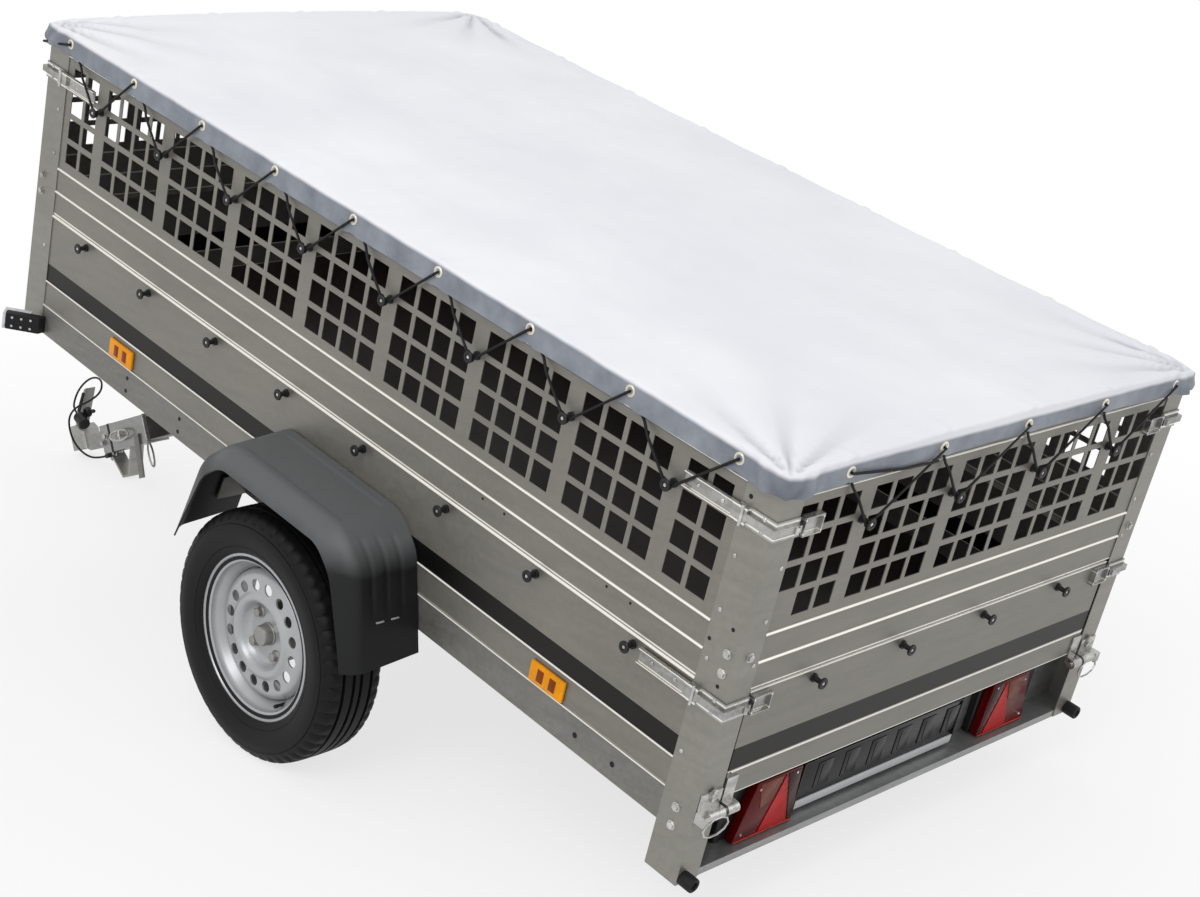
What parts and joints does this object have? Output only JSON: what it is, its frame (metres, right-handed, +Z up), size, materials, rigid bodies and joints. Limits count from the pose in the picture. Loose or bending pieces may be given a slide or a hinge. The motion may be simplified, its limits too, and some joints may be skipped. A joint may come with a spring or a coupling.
{
  "type": "utility trailer",
  "caption": "Single-axle tipping utility trailer with mesh sides, a roped flat cover, drop tailgate, mudguards and a ball-coupling drawbar on its stand.",
  "frame": {"origin": "middle of the parked trailer's box, on the floor", "axes": "+Y along the trailer from tailgate to coupling, +X to its right seen from behind, +Z up; parked on both wheels and the drawbar's stand, bed nose-up"},
  "size_m": [1.66, 3.255, 1.4297],
  "materials": {
    "galvanised": "galvanised sheet, satin",
    "zinc_bright": "bright zinc plate",
    "cover_fabric": "coated tarpaulin",
    "rope_black": "elastic rope",
    "black_plastic": "moulded",
    "black_rubber": "matt",
    "tyre_rubber": "matt",
    "rim_silver": "silver paint, satin",
    "lamp_red": "clear red",
    "reflector_amber": "clear amber",
    "marker_clear": "clear",
    "plywood_dark": "film-faced plywood",
    "handle_grey": "grey",
    "plate_black": "moulded",
    "hub_dark": "machined"
  },
  "bodies": {
    "bed": {"side_rails": "galvanised", "cross_members": "galvanised", "pivot_carrier": "galvanised", "rear_channel": "galvanised", "floor_panel": "plywood_dark", "side_board_left": "galvanised", "front_board": "galvanised", "posts_lower": "galvanised", "posts_upper": "galvanised", "mesh_left": "galvanised", "mesh_front": "galvanised", "mesh_rear": "galvanised", "cover": "cover_fabric", "cover_rope": "rope_black", "hooks": "black_plastic", "corner_latches": "zinc_bright", "tailgate_pins": "zinc_bright", "lamp_left": "lamp_red", "lamp_right": "lamp_red", "number_plate": "plate_black", "marker_arms": "black_rubber", "marker_lenses": "marker_clear", "side_reflectors": "reflector_amber", "rear_buffers": "black_rubber", "axle_beam": "galvanised", "axle_brackets": "galvanised", "trailing_arms": "galvanised", "mudguard_left": "black_plastic", "mudguard_right": "black_plastic", "mudguard_stays": "galvanised", "side_board_right": "galvanised", "mesh_right": "galvanised"},
    "wheel_left": {"tyre_left": "tyre_rubber", "rim_left": "rim_silver", "hub_left": "hub_dark"},
    "wheel_right": {"tyre_right": "tyre_rubber", "rim_right": "rim_silver", "hub_right": "hub_dark"},
    "tailgate": {"tailgate_panel": "galvanised", "tailgate_straps": "zinc_bright", "tailgate_keepers": "zinc_bright", "tailgate_hooks": "black_plastic"},
    "drawbar": {"drawbar_beam": "galvanised", "drawbar_nose": "galvanised", "drawbar_stand": "zinc_bright", "side_leg": "galvanised", "coupling_head": "zinc_bright", "coupling_handle": "handle_grey", "tilt_lock": "zinc_bright", "lead": "rope_black", "lead_gland": "black_plastic", "lead_plug": "black_plastic"}
  },
  "joints": [
    {"name": "wheel_left_spin", "type": "hinge", "parent": "bed", "child": "wheel_left", "pos_m": [-0.7325, -0.3616, 0.2736], "axis": [1, 0, 0], "continuous": true},
    {"name": "wheel_right_spin", "type": "hinge", "parent": "bed", "child": "wheel_right", "pos_m": [0.7325, -0.3616, 0.2736], "axis": [1, 0, 0], "continuous": true},
    {"name": "tailgate_hinge", "type": "hinge", "parent": "bed", "child": "tailgate", "pos_m": [0, -1.49455, 0.28192], "axis": [1, 0, 0], "range_deg": [0, 105]},
    {"name": "bed_tilt", "type": "hinge", "parent": "bed", "child": "drawbar", "pos_m": [0, 0.38445, 0.54277], "axis": [-1, 0, 0], "range_deg": [-34.2, 10]}
  ]
}
